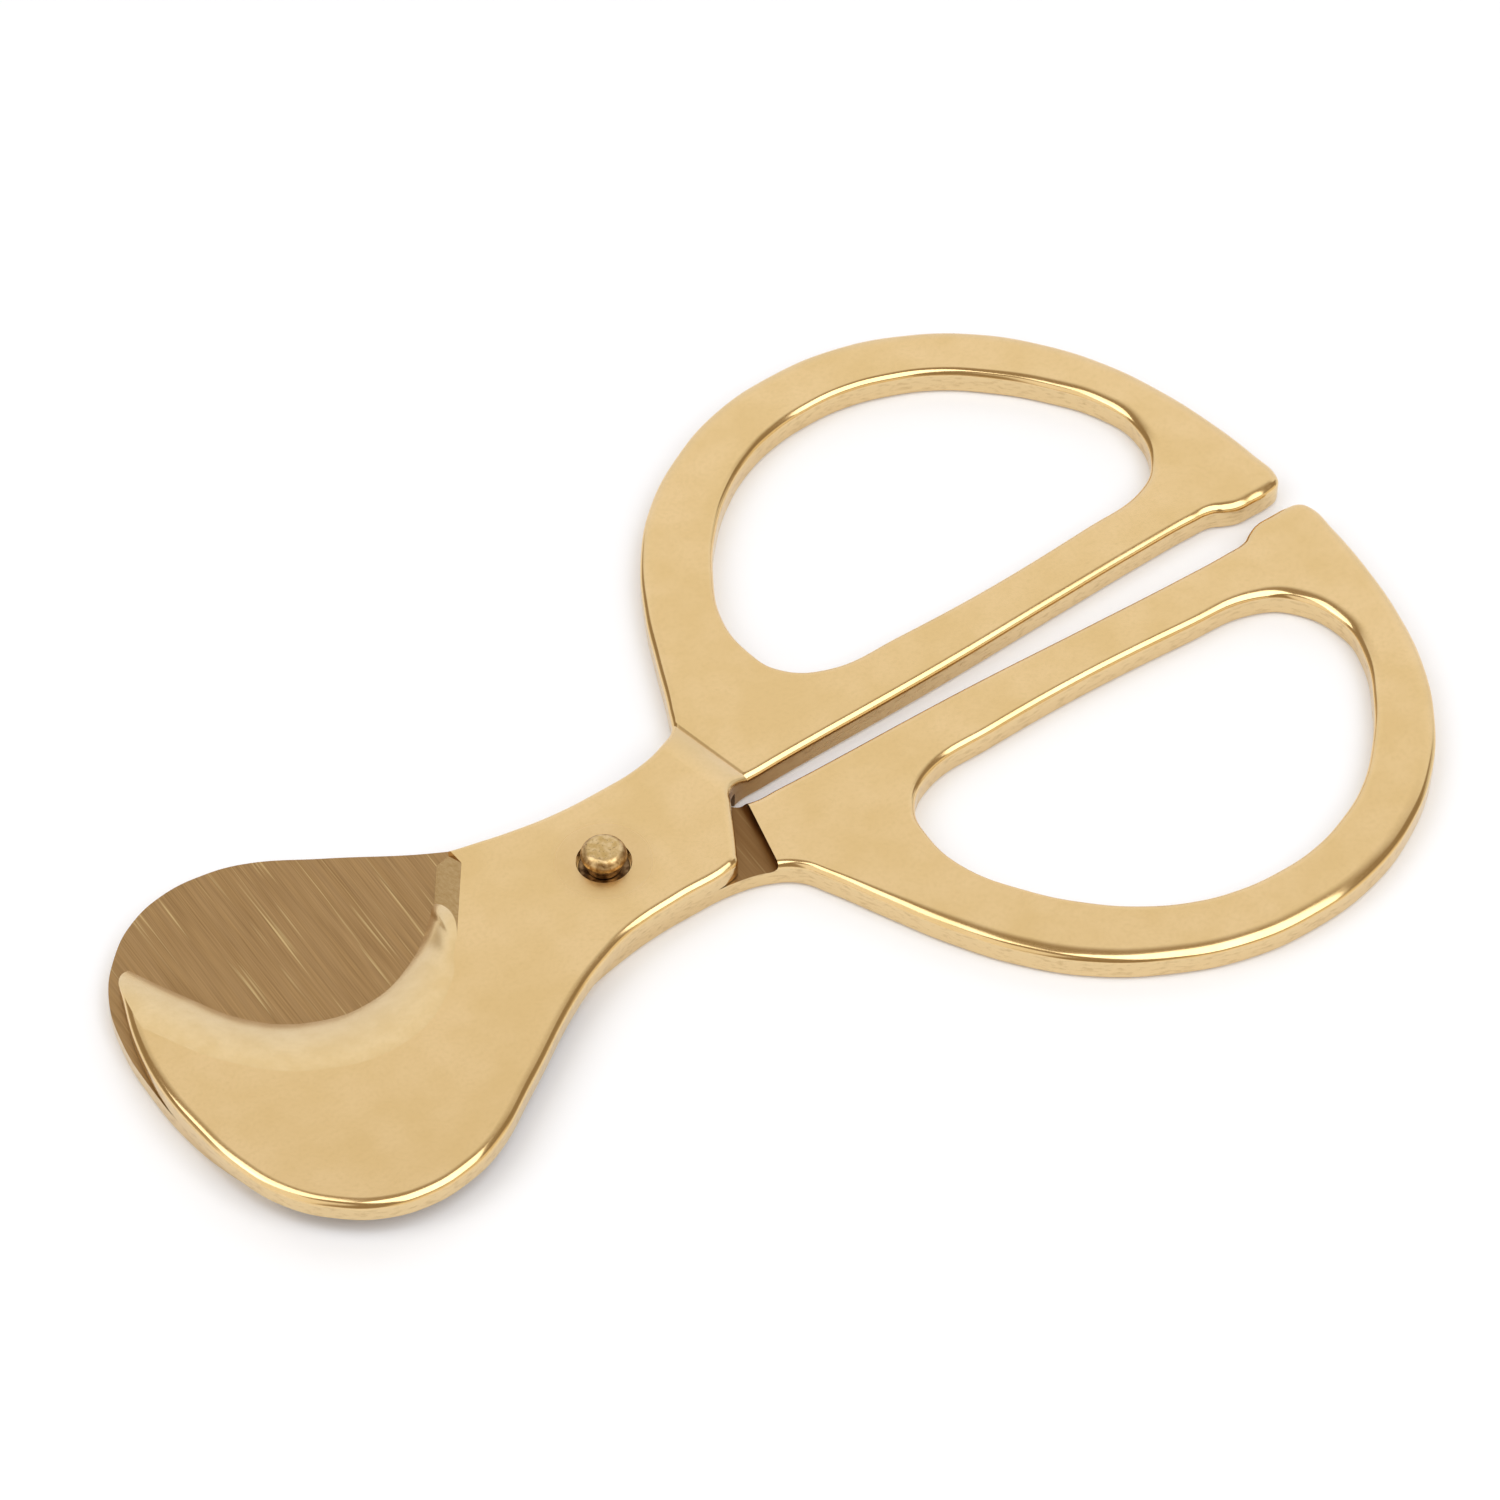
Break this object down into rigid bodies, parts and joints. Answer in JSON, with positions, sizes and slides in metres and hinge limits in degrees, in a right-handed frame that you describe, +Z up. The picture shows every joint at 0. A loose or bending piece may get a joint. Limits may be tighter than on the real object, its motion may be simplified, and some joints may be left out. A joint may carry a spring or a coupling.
{
  "type": "cigar scissors",
  "caption": "Cigar scissors: crossed steel halves with crescent blades and D-shaped finger loops, turning on a rivet.",
  "frame": {"origin": "on the pivot axis, in the plane of the underside that the scissors lie on", "axes": "+X from the blades to the finger loops along the closed scissors, +Y towards the upper half's loop, +Z up along the pivot axis towards the rivet's head"},
  "size_m": [0.1197, 0.0786, 0.0056],
  "materials": {
    "gold_plate": "polished gold plating, brushed on the mating faces of the blades",
    "rivet": "turned and gold plated, satin",
    "washer": "gold-plated spring steel, satin"
  },
  "bodies": {
    "lower": {"lower_half": "gold_plate", "pivot_rivet": "rivet", "spring_washer": "washer"},
    "upper": {"upper_half": "gold_plate"}
  },
  "joints": [
    {"name": "pivot", "type": "hinge", "parent": "lower", "child": "upper", "pos_m": [0, 0, 0.0019], "axis": [0, 0, 1], "range_deg": [-1.6, 90]}
  ]
}
